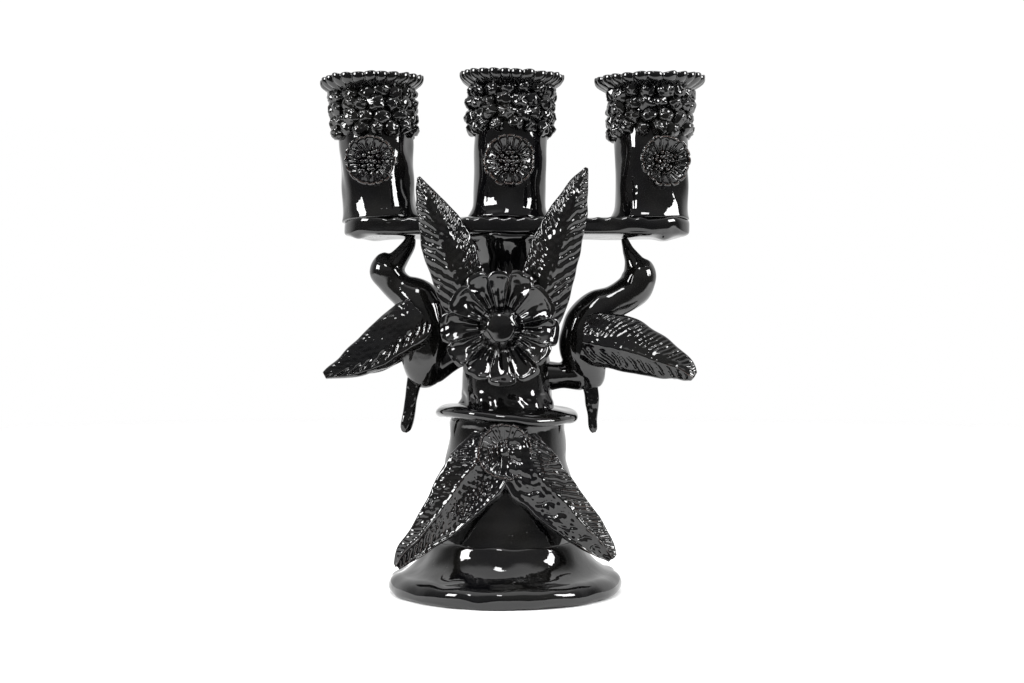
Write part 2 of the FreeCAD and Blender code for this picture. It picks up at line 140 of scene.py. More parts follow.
def mark_thin_glaze(mesh, reach=1.6 * MM):
    """Melted glaze runs off sharp edges: stores how far each point stands proud of its neighbours' middle."""
    count = len(mesh.vertices)
    place = np.empty(count * 3)
    normal = np.empty(count * 3)
    ends = np.empty(len(mesh.edges) * 2, int)
    mesh.vertices.foreach_get("co", place)
    mesh.vertices.foreach_get("normal", normal)
    mesh.edges.foreach_get("vertices", ends)
    place = place.reshape(-1, 3)
    one, other = ends.reshape(-1, 2).T
    middle = np.zeros_like(place)
    length = np.zeros(count)
    shared = np.zeros(count)
    span = np.linalg.norm(place[one] - place[other], axis=1)
    for here, there in ((one, other), (other, one)):
        np.add.at(middle, here, place[there])
        np.add.at(length, here, span)
        np.add.at(shared, here, 1)
    shared = np.maximum(shared, 1)
    proud = ((place - middle / shared[:, None]) * normal.reshape(-1, 3)).sum(axis=1)
    bend = proud / np.maximum((length / shared) ** 2, 1e-12) * reach
    thin = mesh.attributes.new("thin", "FLOAT", "POINT")
    thin.data.foreach_set("value", np.clip(bend - 0.35, 0, 1).astype(np.float32))


class Shade:
    """A socket of a material. Python's arithmetic on it adds Math nodes, and node() adds any other kind."""

    def __init__(self, tree, socket=None):
        self.tree = tree
        self.socket = socket

    def node(self, kind, settings=(), out=0, **sockets):
        """Adds a node: its settings first, then values or links to sockets, whose names use _ for a space."""
        made = self.tree.nodes.new(kind)
        for setting, value in dict(settings).items():
            setattr(made, setting, value)
        for key, value in sockets.items():
            numbered = key[0] == "i" and key[1:].isdigit()
            slot = made.inputs[int(key[1:]) if numbered else key.replace("_", " ")]
            if isinstance(value, Shade):
                self.tree.links.new(value.socket, slot)
            else:
                slot.default_value = value
        return Shade(self.tree, made.outputs[out])

    def sum(self, operation, *values):
        numbered = {f"i{place}": value for place, value in enumerate(values)}
        return self.node("ShaderNodeMath", {"operation": operation}, **numbered)

    def __add__(self, other):
        return self.sum("ADD", self, other)

    def __radd__(self, other):
        return self.sum("ADD", other, self)

    def __sub__(self, other):
        return self.sum("SUBTRACT", self, other)

    def __rsub__(self, other):
        return self.sum("SUBTRACT", other, self)

    def __mul__(self, other):
        return self.sum("MULTIPLY", self, other)

    def __rmul__(self, other):
        return self.sum("MULTIPLY", other, self)

    def __truediv__(self, other):
        return self.sum("DIVIDE", self, other)

    def __pow__(self, other):
        return self.sum("POWER", self, other)

    def between(self, low, high):
        """0 below low, 1 above high, eased in between."""
        return self.node("ShaderNodeMapRange", {"interpolation_type": "SMOOTHSTEP"}, Value=self,
                         From_Min=low, From_Max=high)


def black_glaze(name, lumps):
    """Thick glossy black glaze: pooled swells, lumps, fine peel, rare pinholes, rusty where it ran thin."""
    material = bpy.data.materials.new(name)
    material.use_nodes = True
    tree = material.node_tree
    tree.nodes.clear()
    start = Shade(tree)
    at = start.node("ShaderNodeTexCoord", out="Object")
    swell = start.node("ShaderNodeTexNoise", Vector=at, Scale=90.0, Detail=1.0)
    lump = start.node("ShaderNodeTexNoise", Vector=at, Scale=290.0, Detail=1.5, Roughness=0.45)
    peel = start.node("ShaderNodeTexNoise", Vector=at, Scale=700.0, Detail=2.0)
    cloud = start.node("ShaderNodeTexNoise", Vector=at, Scale=38.0, Detail=3.0)
    speck = start.node("ShaderNodeTexVoronoi", Vector=at, Scale=260.0, Randomness=1.0)
    pit = (1 - speck.between(0.07, 0.16)) * cloud.between(0.56, 0.62)
    thin = start.node("ShaderNodeAttribute", {"attribute_name": "thin"}, out="Fac")
    broken = (thin * (0.35 + 0.9 * cloud)).between(0.30, 0.95)
    deep = start.node("ShaderNodeMix", {"data_type": "RGBA"}, out=2, i0=cloud.between(0.35, 0.7),
                      i6=(0.0016, 0.0016, 0.0020, 1), i7=(0.0042, 0.0040, 0.0036, 1))
    colour = start.node("ShaderNodeMix", {"data_type": "RGBA"}, out=2, i0=broken * 0.5,
                        i6=deep, i7=(0.060, 0.022, 0.010, 1))
    height = swell * 0.42 + lump * lumps + peel * 0.012 - pit * 0.12
    bump = start.node("ShaderNodeBump", Height=height, Distance=1.0 * MM, Strength=0.55)
    shader = start.node("ShaderNodeBsdfPrincipled", Base_Color=colour, Normal=bump, IOR=1.60,
                        Roughness=0.03 + cloud.between(0.5, 0.8) * 0.04 + pit * 0.25 + broken * 0.10)
    end = tree.nodes.new("ShaderNodeOutputMaterial")
    tree.links.new(shader.socket, end.inputs["Surface"])
    return material


glaze = black_glaze("black_glaze", 0.10)
worked_glaze = black_glaze("black_glaze_over_tool_marks", 0.26)


def glazed(piece, *nodes, material=None):
    """Dip a piece in the glaze and let it stand for its nodes of the frame."""
    mark_thin_glaze(piece.data)
    piece.data.materials.append(material or glaze)
    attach(piece, "root")
    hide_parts(*nodes)
    return piece


def thrown(corners, base=0.0, round_steps=220, section_steps=120):
    """A wheel-thrown ring: a closed outline of (radius, height over base) corners, rounded and spun."""
    outline = rounded(corners, section_steps)
    turn = np.linspace(0, 2 * math.pi, round_steps, endpoint=False)[:, None]
    height = np.broadcast_to(base + outline[None, :, 1], (round_steps, section_steps))
    return np.stack([outline[None, :, 0] * np.cos(turn), outline[None, :, 0] * np.sin(turn), height], axis=-1)


foot_ring = thrown([(38.6, 1.0), (40.5, 0), (62.5, 0), (66.6, 0.2), (69.2, 2.0), (69.9, 5.5), (68.6, 9.0),
                    (65.4, 11.2), (60.5, 12.4), (55.5, 15.4), (51.2, 19.2), (48.4, 24.5), (46.6, 31.0),
                    (44.0, 31.0), (38.6, 14.0)], section_steps=170)
foot_askew = 1.2
spin = np.arctan2(foot_ring[..., 1], foot_ring[..., 0])
foot_ring[..., 0] -= foot_askew
foot_ring[..., 2] *= 1 + 0.06 * np.sin(spin + 2.6) + 0.04 * np.sin(2 * spin + 0.8)
foot_ring = by_hand(foot_ring, 0.45, 21, 11)
foot_ring[..., 2] = np.maximum(foot_ring[..., 2], 0)
glazed(skin("saucer_foot", [foot_ring], ring=True), "foot_plate")

# The bell: thrown hollow and open below, its skirt worked down onto the foot so that the join barely shows.
# Its wall is about 6 mm of clay, with soft dents left by the fingers.

foot_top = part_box("foot_plate")[1][2] / MM
bell_wall = thrown([(39.0, -1.8), (47.0, -1.0), (47.4, 4.0), (46.4, 10.0), (45.2, 16.0), (43.6, 26.0),
                    (41.6, 36.0), (38.6, 52.0), (35.6, 66.0), (34.2, 78.0), (34.6, 88.5), (28.0, 88.5),
                    (28.2, 76.0), (30.0, 64.0), (33.0, 50.0), (36.6, 32.0), (38.2, 14.0), (38.6, 4.0)],
                   base=foot_top, section_steps=200)
spin = np.arctan2(bell_wall[..., 1], bell_wall[..., 0])
ripple = 0.0012 * np.sin(bell_wall[..., 2] * (2 * math.pi / 9) + spin) + 0.006 * np.sin(2 * spin + 1.0)
bell_wall[..., :2] *= 1 + ripple[..., None]
bell_wall = by_hand(bell_wall, 0.45, 22, 21)
glazed(skin("hollow_bell", [bell_wall], ring=True), "base_bell")

# The collar: a slab disc laid over the bell's top and pressed down while it was soft, under the same glaze.
# It went on a little askew, and its edge waves.


def node_middle(node):
    """The middle of a node's box, in millimetres."""
    low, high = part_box(node)
    return (np.array(low) + np.array(high)) / 2 / MM


collar_middle = node_middle("collar_disc")[2]
collar_radius = 42.7
collar_lean = math.radians(2.3)
disc = thrown([(13.8, -2.6), (36.0, -3.2), (41.2, -2.9), (43.2, -0.4), (42.2, 2.6), (38.0, 4.4), (32.0, 5.6),
               (24.0, 7.0), (13.8, 7.0)], section_steps=90)
spin = np.arctan2(disc[..., 1], disc[..., 0])
reach = np.hypot(disc[..., 0], disc[..., 1])
wave = 0.9 * np.sin(2 * spin + 0.5) + 0.6 * np.sin(3 * spin + 2.0) + 0.3 * np.sin(7 * spin)
disc[..., 2] += wave * (reach / collar_radius) ** 3
tilted = disc.copy()
tilted[..., 0] = disc[..., 0] * math.cos(collar_lean) + disc[..., 2] * math.sin(collar_lean)
tilted[..., 2] = collar_middle + disc[..., 2] * math.cos(collar_lean) - disc[..., 0] * math.sin(collar_lean)
glazed(skin("collar", [by_hand(tilted, 0.25, 18, 31)], ring=True), "collar_disc")

# The column: a thrown tube of the same clay, squeezed in towards the top.
# Its foot is pressed out and smeared onto the collar with the fingertips.

tube = thrown([(15.4, 1.5), (30.5, 1.5), (29.0, 4.5), (27.4, 8.5), (26.6, 15), (26.0, 29), (24.4, 47),
               (21.6, 67), (20.6, 82), (15.2, 82), (15.2, 45)], base=collar_middle, section_steps=170)
spin = np.arctan2(tube[..., 1], tube[..., 0])
smeared_at = collar_middle + 7
low = np.exp(-((tube[..., 2] - smeared_at) / 6.5) ** 2)
tube[..., :2] *= 1 + (0.03 * low * (slow_waves(tube, 11, 40) + 0.4 * np.sin(11 * spin)))[..., None]
glazed(skin("thrown_column", [by_hand(tube, 0.5, 22, 41)], ring=True), "column")

# The neck: a small flared bowl, thrown on its own and luted onto the column with slip.
# It carries the crossbar on its rim.

column_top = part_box("neck_funnel")[0][2] / MM
funnel = thrown([(15.2, 0), (20.4, -1), (20.6, 6), (22.2, 14), (24.8, 20.5), (27.2, 24), (27.4, 26),
                 (24, 25.4), (15.2, 25.2)], base=column_top, section_steps=90)
glazed(skin("flared_neck", [by_hand(funnel, 0.35, 16, 51)], ring=True), "neck_funnel")

# The crossbar: a thick slab cut with round ends, its top edge pinched up all round and its face dented by a
# tool. Glaze has run down and hangs in lumps under both ends.

bar_low, bar_high = (np.array(corner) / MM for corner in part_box("crossbar"))
half_deep = (bar_high[1] - bar_low[1]) / 2
bar_middle = (bar_low[2] + bar_high[2]) / 2
half_thick = (bar_high[2] - bar_low[2]) / 2
middle_x = (bar_low[0] + bar_high[0]) / 2
half_straight = (bar_high[0] - bar_low[0]) / 2 - half_deep
steps = 130
straight = np.linspace(-1, 1, steps, endpoint=False)
end_turn = np.linspace(-math.pi / 2, math.pi / 2, steps, endpoint=False)
one = np.ones(steps)
run_x = middle_x + half_straight * np.concatenate([straight, one, -straight, -one])
way_x = np.concatenate([0 * one, np.cos(end_turn), 0 * one, -np.cos(end_turn)])
way_y = np.concatenate([-one, np.sin(end_turn), one, -np.sin(end_turn)])
fall = np.linspace(0, math.pi, 56)[:, None]
bulge = np.sign(np.sin(fall)) * np.abs(np.sin(fall)) ** 0.35
lift = -np.sign(np.cos(fall)) * np.abs(np.cos(fall)) ** 0.42
slab = np.stack([run_x + way_x * half_deep * bulge, way_y * half_deep * bulge,
                 bar_middle + half_thick * lift + 0 * run_x], axis=-1)
pinch = np.exp(-((bulge - 0.96) / 0.05) ** 2) * (lift > 0)
slab[..., 2] += pinch * (0.7 + 0.5 * np.sin(run_x / 1.35 + 3 * way_x))
# Dents in the front: (right of the bar's middle, above it, half width, half height, depth).
dents = ((-82.85, -0.5, 4, 1.6, 1.3), (-74.85, 0.5, 3, 1.5, 1.1), (-67.85, 0.1, 3, 1.6, 1.2),
         (70.15, -3.1, 9, 1.1, 1.0), (85.15, -3.7, 4, 1.2, 1.4), (92.15, -3.0, 3, 1.6, 1.2),
         (54.15, -0.5, 5, 1.3, 0.8), (44.15, 1.9, 6, 1.4, 0.9))
front_of_slab = slab[..., 1] < -10
for right, above, wide, tall, depth in dents:
    off_x = (slab[..., 0] - middle_x - right) / wide
    off_z = (slab[..., 2] - bar_middle - above) / tall
    slab[..., 1] += depth * np.exp(-off_x ** 2 - off_z ** 2) * front_of_slab
# Drips below: (right of the bar's middle, behind it, half width, depth).
drips = ((87.15, -14, 5.5, 2.6), (78.15, -16, 6, 0.9), (69.15, -12, 7, 0.8), (-93.85, -13, 5, 1.9),
         (-85.85, 8, 7, 1.4), (89.15, 10, 6, 1.6), (-65.85, -12, 8, 0.5))
for right, behind, wide, depth in drips:
    off_x = (slab[..., 0] - middle_x - right) / wide
    off_y = (slab[..., 1] - behind) / wide
    slab[..., 2] -= depth * np.exp(-off_x ** 2 - off_y ** 2) * np.clip(-lift, 0, 1)
glazed(skin("crossbar_slab", [by_hand(slab, 0.35, 20, 61)], poles=False), "crossbar")

# The three candle cups: thrown cylinders with a floor, set on the crossbar by eye, so each leans its own way.
# The wall is 6 mm thick, and its foot is smeared down onto the slab.

lifted = {"left": 0.0, "centre": 2.0, "right": 0.0}
inwards = {"left": 0.0, "centre": 0.0, "right": math.pi}


def cup_frame(side):
    """A cup's base centre, and its across and up axes, all read from its socket's mount."""
    mount = next(m for m in frame["record"]["mounts"] if m["name"] == f"candle_socket_{side}")
    up = np.array(mount["axis"])
    across = np.cross((0, 1, 0), up)
    socket_middle = 44.5
    base = np.array(mount["pos_m"]) / MM - up * socket_middle
    return base, across / np.linalg.norm(across), up


def on_cup(side, points):
    """Points given round a cup's own axis, stood on that cup."""
    base, across, up = cup_frame(side)
    back = np.array((0.0, 1.0, 0.0))
    return base + points[..., :1] * across + points[..., 1:2] * back + points[..., 2:] * up


for number, side in enumerate(("left", "centre", "right")):
    foot_z = -lifted[side] - 0.6
    pot = thrown([(0.4, foot_z), (12, foot_z), (21.8, foot_z), (22.6, foot_z + 0.6), (22.0, foot_z + 3.4),
                  (21.8, 8.5), (21.6, 18), (21.6, 34), (21.9, 52), (21.9, 70), (21.4, 79.5), (19.6, 81.2),
                  (16.8, 81.0), (15.8, 78.5), (15.8, 60), (15.8, 30), (15.6, 12), (13.5, 8.2), (6, 8),
                  (0.4, 8)], section_steps=220, round_steps=200)
    spin = np.arctan2(pot[..., 1], pot[..., 0])
    outside = np.hypot(pot[..., 0], pot[..., 1]) > 18.5
    flats = 0.014 * np.sin(3 * spin + number) + 0.007 * np.sin(5 * spin + 2 * number)
    smeared = np.exp(-((pot[..., 2] - foot_z) / 5.0) ** 2)
    smear = smeared * (0.5 + 0.5 * np.cos(spin - inwards[side])) ** 2
    if side == "centre":
        smear = smear + smeared * (0.5 - 0.5 * np.cos(spin)) ** 2
    pot[..., :2] *= 1 + ((flats + 0.13 * smear) * outside)[..., None]
    pot = by_hand(on_cup(side, pot), 0.35, 17, 70 + 5 * number)
    glazed(skin(f"candle_cup_{side}_thrown", [pot], ring=True), f"candle_cup_{side}")

# The drip rims: a coil flattened into a flange round each mouth, then fluted underneath with a fingertip so
# that its edge ends in a ring of round beads.

rim_radius = {"left": 31.0, "centre": 31.0, "right": 33.0}
rim_beads = {"left": 25, "centre": 26, "right": 24}
rim_inside = 20.9
rim_foot = 75.2
rim_rise = 8.2
for number, side in enumerate(("left", "centre", "right")):
    beads = rim_beads[side]
    spin = np.linspace(0, 2 * math.pi, beads * 22, endpoint=False)[:, None]
    section = np.linspace(0, 2 * math.pi, 56, endpoint=False)[None, :]
    uneven = 0.35 * np.sin(3 * spin + number) + 0.3 * np.sin(5 * spin + 2 * number)
    lobe = np.abs(np.cos(beads * spin / 2 + uneven)) ** 0.55
    outer = rim_radius[side] - 2.3 * (1 - lobe) + 0.5 * np.sin(2 * spin + 1.3 * number)
    along = 0.5 - 0.5 * np.cos(section)
    edge = np.clip((along - 0.25) / 0.75, 0, 1)
    thick = (1.5 + 1.05 * lobe * edge) * np.sqrt(np.clip(1 - np.abs(2 * along - 1) ** 5, 0, 1)) + 0.3
    side_up = np.where(section < math.pi, 1.0, -1.0)
    radius = rim_inside + (outer - rim_inside) * along
    edge_at = np.stack(np.broadcast_arrays(np.cos(spin) * 30, np.sin(spin) * 30, along), axis=-1)
    wobble = 1.1 * np.sin(spin) + 0.55 * np.sin(2 * spin + number) + 0.4 * slow_waves(edge_at, 9, 90 + number)
    height = rim_foot + rim_rise * along + side_up * thick + wobble * along
    flange = np.stack(np.broadcast_arrays(radius * np.cos(spin), radius * np.sin(spin), height), axis=-1)
    glazed(skin(f"drip_rim_{side}_fluted", [on_cup(side, flange)], ring=True), f"drip_rim_{side}")

# The berry bands: pinched pellets of clay, crinkled between finger and thumb and pressed on in four rows.
# Every pellet's crinkles are its own.


def pellet(centre, outward, size, seed, rows, columns):
    """A crinkled ball, a little flattened outward: its radius rises and falls with waves of its own."""
    polar = np.linspace(0.09, math.pi - 0.09, rows)[:, None]
    round_it = np.linspace(0, 2 * math.pi, columns, endpoint=False)[None, :]
    ball = np.stack(np.broadcast_arrays(np.sin(polar) * np.cos(round_it), np.sin(polar) * np.sin(round_it),
                                        np.cos(polar)), axis=-1)
    crinkle = 0.09 * slow_waves(ball, 1.0, seed) + 0.055 * slow_waves(ball, 0.42, seed + 50)
    curl = 0.07 * np.sin(4 * round_it + 3 * polar + seed)
    radius = size * (1 + crinkle + curl * np.sin(polar))
    side_way = np.cross(outward, (0, 0, 1.0))
    side_way /= np.linalg.norm(side_way)
    up_way = np.cross(side_way, outward)
    local = ball * radius[..., None]
    squashed = local * (1.0, 0.94, 0.82)
    return centre + squashed[..., :1] * side_way + squashed[..., 1:2] * up_way + squashed[..., 2:] * outward


berry_rows = ((74.0, 15, 5.3), (66.4, 16, 5.3), (59.0, 15, 5.3), (52.6, 15, 5.0))
for number, side in enumerate(("left", "centre", "right")):
    draw = np.random.default_rng(300 + number)
    pellets = []
    for row, (height, count, size) in enumerate(berry_rows):
        for step in range(count):
            angle = 2 * math.pi * (step + 0.5 * (row % 2) + draw.uniform(-0.13, 0.13)) / count
            out = np.array((math.cos(angle), math.sin(angle), 0.0))
            drop = draw.uniform(-1.2, 1.2)
            centre = out * draw.uniform(21.6, 23.4) + np.array((0, 0, height + drop))
            own_size = size * draw.uniform(0.85, 1.1)
            own_seed = 1000 * number + 40 * row + step
            pellets.append(on_cup(side, pellet(centre, out, own_size, own_seed, 15, 26)))
    band = skin(f"berry_band_{side}_pinched", pellets)
    glazed(band, f"berry_band_{side}", material=worked_glaze)

# The cup rosettes: a small disc thumbed into a bowl, its rim snipped and crimped into petals all round, with
# a heart of tiny pellets pressed into it. Each sits on the front of its cup, as the potter's hand left it.


def bloom(radius, petals, deep, thick, seed, notch, scoop, throat, flutes, flute, curl, rows, columns):
    """A flower worked from one disc, in its own frame: x right, y up and z towards the viewer.

    The bowl climbs by deep times (distance / radius) to the power 1.5. Each petal is scooped between crests
    and leans and curls its own way, and the outline dips by notch at every crest. A ring round the middle
    sinks by throat, and so many flutes to a petal run out of it. The rim is a soft roll.
    """
    turn = np.linspace(0, 2 * math.pi, columns, endpoint=False)[None, :]
    out = np.sin(np.linspace(0.01, math.pi / 2, rows))[:, None]
    out = np.concatenate([out, out[::-1][1:]])
    front = np.concatenate([np.ones(rows), -np.ones(rows - 1)])[:, None]
    draw = np.random.default_rng(seed)
    warp = turn + 0.9 / petals * np.sin(2 * turn + draw.uniform(0, 6))
    warp = warp + 0.7 / petals * np.sin(3 * turn + draw.uniform(0, 6))
    part = petals * warp / (2 * math.pi)
    which = np.round(part).astype(int) % petals
    offside = 2 * (part - np.round(part))
    across = np.abs(offside)
    size = draw.uniform(0.95, 1.04, petals)[which]
    lift = draw.uniform(-0.5, 1.0, petals)[which] * curl
    lean = draw.uniform(-1.0, 1.0, petals)[which] * offside * (1 - across ** 2) * curl
    outline = radius * ((1 - across ** 6) * size + across ** 6 * (1 - notch))
    reach = out * outline
    crest = across ** 3 - 0.40
    disc = np.stack(np.broadcast_arrays(reach * np.cos(turn), reach * np.sin(turn), 0 * reach), axis=-1)
    height = deep * out ** 1.5 + scoop * crest * np.sin(math.pi * np.clip(out ** 1.3, 0, 1)) ** 0.8
    height = height + lift * (1 - across ** 2) * out ** 7 - throat * np.exp(-((out - 0.30) / 0.07) ** 2)
    height = height + lean * np.sin(math.pi * np.clip(out, 0, 1) ** 1.6)
    height = height + 0.03 * radius * slow_waves(disc, radius * 0.7, seed) * out
    marks = flute * np.cos(2 * math.pi * flutes * part) * np.exp(-((out - 0.50) / 0.16) ** 2)
    marks = marks + 0.35 * thick * np.exp(-((out - 0.93) / 0.05) ** 2)
    marks = marks + 0.008 * radius * slow_waves(disc, radius * 0.13, seed + 7) * out
    half = thick / 2 * np.sqrt(np.clip(1 - out ** 12, 0, 1))
    disc[..., 2] = height + marks * (front > 0) + half * front
    return disc


def fixed_at(middle, outward, points):
    """Points in a flower's own frame, set at its middle so that it looks outward."""
    outward = np.asarray(outward, float) / np.linalg.norm(outward)
    right = np.cross((0.0, 0.0, 1.0), outward)
    right /= np.linalg.norm(right)
    up = np.cross(outward, right)
    return middle + points[..., :1] * right + points[..., 1:2] * up + points[..., 2:] * outward


rosette_turn = {"left": -0.04, "centre": 0.0, "right": 0.21}
heart_rings = ((0.0, 1), (2.6, 6), (5.2, 10), (7.6, 13))
grain_way = np.array((0, 0.02, 1.0))
for number, side in enumerate(("left", "centre", "right")):
    spin = rosette_turn[side]
    out = np.array((math.sin(spin), -math.cos(spin), 0.0))
    seat = np.array((0, 0, 32.0 - lifted[side]))
    looks = on_cup(side, out) - on_cup(side, np.zeros(3))
    middle = on_cup(side, out * 22.4 + seat)
    petals = bloom(15.2, 16, 7.5, 2.6, 400 + number, notch=0.09, scoop=0.8, throat=0.0, flutes=2, flute=0.35,
                   curl=0.9, rows=34, columns=560)
    disc = skin(f"cup_rosette_{side}_crimped", [fixed_at(middle, looks, petals)])
    glazed(disc, f"cup_rosette_{side}", material=worked_glaze)
    draw = np.random.default_rng(420 + number)
    grains = []
    for ring, count in heart_rings:
        for _ in range(count):
            grain = len(grains)
            angle = (grain + draw.uniform(-0.2, 0.2)) * 2 * math.pi / count
            spot = np.array((ring * math.cos(angle), ring * math.sin(angle), 3.9 - 0.012 * ring ** 2))
            spot = spot + draw.uniform(-0.3, 0.3, 3)
            own_size = draw.uniform(1.2, 1.9)
            own_seed = 430 + 40 * number + grain
            grains.append(fixed_at(middle, looks, pellet(spot, grain_way, own_size, own_seed, 8, 12)))
    heart = skin(f"rosette_heart_{side}_grains", grains)
    glazed(heart, f"rosette_heart_{side}", material=worked_glaze)

# The large flower: twelve scooped petals worked from one thick disc, with crests between them and flutes out
# of the throat, on a stalk that is pressed to the column. A low domed button fills its middle.


def dome(radius, rise, seed, rows=16, columns=48):
    """A button in its own frame: a flattened ball, slightly lumpy, centred on its widest ring."""
    polar = np.linspace(0.06, math.pi - 0.06, rows)[:, None]
    turn = np.linspace(0, 2 * math.pi, columns, endpoint=False)[None, :]
    ring = radius * np.sin(polar)
    ball = np.stack(np.broadcast_arrays(ring * np.cos(turn), ring * np.sin(turn), rise * np.cos(polar)),
                    axis=-1)
    return by_hand(ball, 0.045 * radius, radius, seed)


def stalk(radius, back, front, seed):
    """A short stub of clay in a flower's own frame, flared at both ends."""
    outline = through([(radius * 1.25, back), (radius, 0.6 * back + 0.4 * front), (radius * 1.1, front)], 14)
    turn = np.linspace(0, 2 * math.pi, 60, endpoint=False)[None, :]
    stub = np.stack(np.broadcast_arrays(outline[:, :1] * np.cos(turn), outline[:, :1] * np.sin(turn),
                                        outline[:, 1:]), axis=-1)
    return by_hand(stub, 0.4, 9, seed)


front_way = np.array((0.0, -1.0, 0.0))
flower_middle = node_middle("main_flower")
flower_middle[1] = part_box("main_flower")[0][1] / MM + 11.2
flower_middle[2] += 1
big = bloom(33.2, 12, 7.0, 3.0, 503, notch=0.07, scoop=3.0, throat=2.2, flutes=2.5, flute=0.5, curl=4.2,
            rows=60, columns=720)
stub = stalk(11.0, -14.0, 1.5, 505)
flower = [fixed_at(flower_middle, front_way, part) for part in (big, stub)]
glazed(skin("large_flower", flower), "main_flower", material=worked_glaze)
button = dome(8.3, 2.2, 510)
button[..., 2] += 1.6
glazed(skin("large_flower_button", [fixed_at(flower_middle, front_way, button)]), "main_flower_boss")

# The small flower on the bell: made like the large one, with a fan of fine ribs and a bead in its middle.
# It is pressed on over the roots of the two lower leaves.

posy_middle = node_middle("base_flower")
posy_middle[1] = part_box("base_flower")[0][1] / MM + 6.4
posy_way = np.array((0.0, -1.0, 0.06))
small = bloom(16.6, 22, 4.6, 2.8, 520, notch=0.05, scoop=0.55, throat=0.7, flutes=1, flute=0.25, curl=0.5,
              rows=44, columns=660)
posy_stub = stalk(6.5, -6.0, 1.0, 525)
posy = [fixed_at(posy_middle, posy_way, part) for part in (small, posy_stub)]
glazed(skin("small_flower", posy), "base_flower")
bead = dome(3.5, 2.6, 530)
bead[..., 2] += 2.4
glazed(skin("small_flower_bead", [fixed_at(posy_middle, posy_way, bead)]), "base_flower_boss")

# The leaves: slabs cut to a long leaf and bent over the hand, with slanting veins pressed in with a knife's
# back. Two stand up behind the large flower. Two hang over the bell, with a raised midrib and a rolled lip.


def slab_blade(node, stations, relief, thick, seed, mirrored=False, rows=230, across=48):
    """A worked slab along stations (x, y, z from the low corner of its node's box, half width).

    Its width lies square to the run, in the plane of the crossbar. relief(distance along, share of the half
    width towards the lower edge, half width) stands out from the front face. The rim is rounded, and the back
    is a little hollow. mirrored makes a slab that faces the back.
    """
    corner = np.array(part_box(node)[0]) / MM
    run = through(np.asarray(stations, float), rows)
    spine = run[:, :3] + corner
    half = np.maximum(run[:, 3:], 0.5)
    ahead = np.gradient(spine, axis=0)
    step = np.linalg.norm(ahead, axis=1, keepdims=True)
    along = np.cumsum(step, axis=0)
    ahead /= step
    outward = np.array((0.0, 1.0 if mirrored else -1.0, 0.0))
    side = np.cross(ahead, outward)
    side /= np.linalg.norm(side, axis=1, keepdims=True)
    face = np.cross(side, ahead)
    share = np.sin(np.linspace(-1, 1, across) * 1.35) / math.sin(1.35)
    share = np.concatenate([share, share[::-1][1:-1]])[None, :]
    front = np.concatenate([np.ones(across), -np.ones(across - 2)])[None, :]
    rim = np.sqrt(np.clip(1 - np.abs(share) ** 8, 0, 1))
    body = thick / 2 * np.minimum(1, 0.35 + half / 6)
    low = share if spine[-1, 0] > spine[0, 0] else -share
    low = -low if mirrored else low
    height = relief(along, low, half) * np.where(front > 0, rim, 0) + front * body * rim
    height = height - np.where(front > 0, 0, 0.14 * half * (1 - share ** 2))
    sideways = side[:, None, :] * (share * half)[..., None]
    return by_hand(spine[:, None, :] + sideways + face[:, None, :] * height[..., None], 0.35, 14, seed)


def tooled(keel, high, upper, lower, lip=0.0, soft=0.05, crumpled=0.12, vein=0.0):
    """A roof-shaped face with tool marks: its ridge runs at keel and stands high where the slab is widest.

    A rib as high as vein may run along the ridge, and a roll as high as lip inside the lower edge. upper and
    lower are the marks on the two slopes: (pitch along the ridge, slant, depth, first and last share of the
    slope, sharpness). A mark's phase is (distance along - slant * distance from the ridge) / pitch.
    """
    def relief(along, low, half):
        below = low > keel
        slope = np.where(below, (low - keel) / (1 - keel), (keel - low) / (1 + keel))
        roof = high * half / half.max() * (1 + soft - np.sqrt(slope ** 2 + soft ** 2))
        away = np.abs(low - keel) * half
        marks = 0.0
        for here, (pitch, slant, depth, first, last, sharp) in ((~below, upper), (below, lower)):
            phase = (along - slant * away) / pitch
            phase = phase + 0.10 * np.sin(2.1 * phase + 1.0) + 0.06 * np.sin(away * 1.3 + phase)
            cut = (0.5 + 0.5 * np.cos(2 * math.pi * phase)) ** sharp
            window = np.clip((slope - first) / 0.10, 0, 1) * np.clip((last - slope) / 0.08, 0, 1)
            marks = marks - depth * cut * window * here
        roll = lip * np.exp(-((slope - 0.90) / 0.06) ** 2) * below + vein * np.exp(-(away / 0.7) ** 2)
        both = np.stack(np.broadcast_arrays(along, away * np.where(below, 1, -1), 0.0 * low * along), axis=-1)
        crumple = crumpled * slow_waves(both, 3.0, 3)
        return (roof + marks + roll + crumple) * np.clip(half / 4, 0, 1)
    return relief


upper_leaf_runs = {
    "left": [(36.2, 10.5, 6.2, 12.5), (28.2, 8, 19.2, 15), (22.5, 5, 34.7, 14.8), (16.3, 3.5, 51.7, 14),
             (11.2, 2.5, 63.7, 10.8), (5.6, 2, 76.8, 5.6), (1.2, 2.5, 86.6, 1)],
    "right": [(13.2, 10.6, 4.4, 14), (17.2, 8.1, 16.4, 15.2), (22.2, 5.1, 34.4, 15),
             (27.6, 3.6, 52.9, 13.7), (32.5, 2.6, 65.4, 11.2), (38.8, 2.1, 82.4, 5.8), (43.2, 2.6, 92, 1)],
}
for number, (side, stations) in enumerate(upper_leaf_runs.items()):
    face = tooled(-0.05, 4.2, (4.3, 1.1, 1.0, 0.28, 0.97, 1.6), (6.0, 1.1, 1.0, 0.22, 1.0, 1.0), crumpled=0.2)
    leaf = slab_blade(f"upper_leaf_{side}", stations, face, 3.4, 600 + number)
    glazed(skin(f"upper_leaf_{side}_veined", [leaf]), f"upper_leaf_{side}", material=worked_glaze)

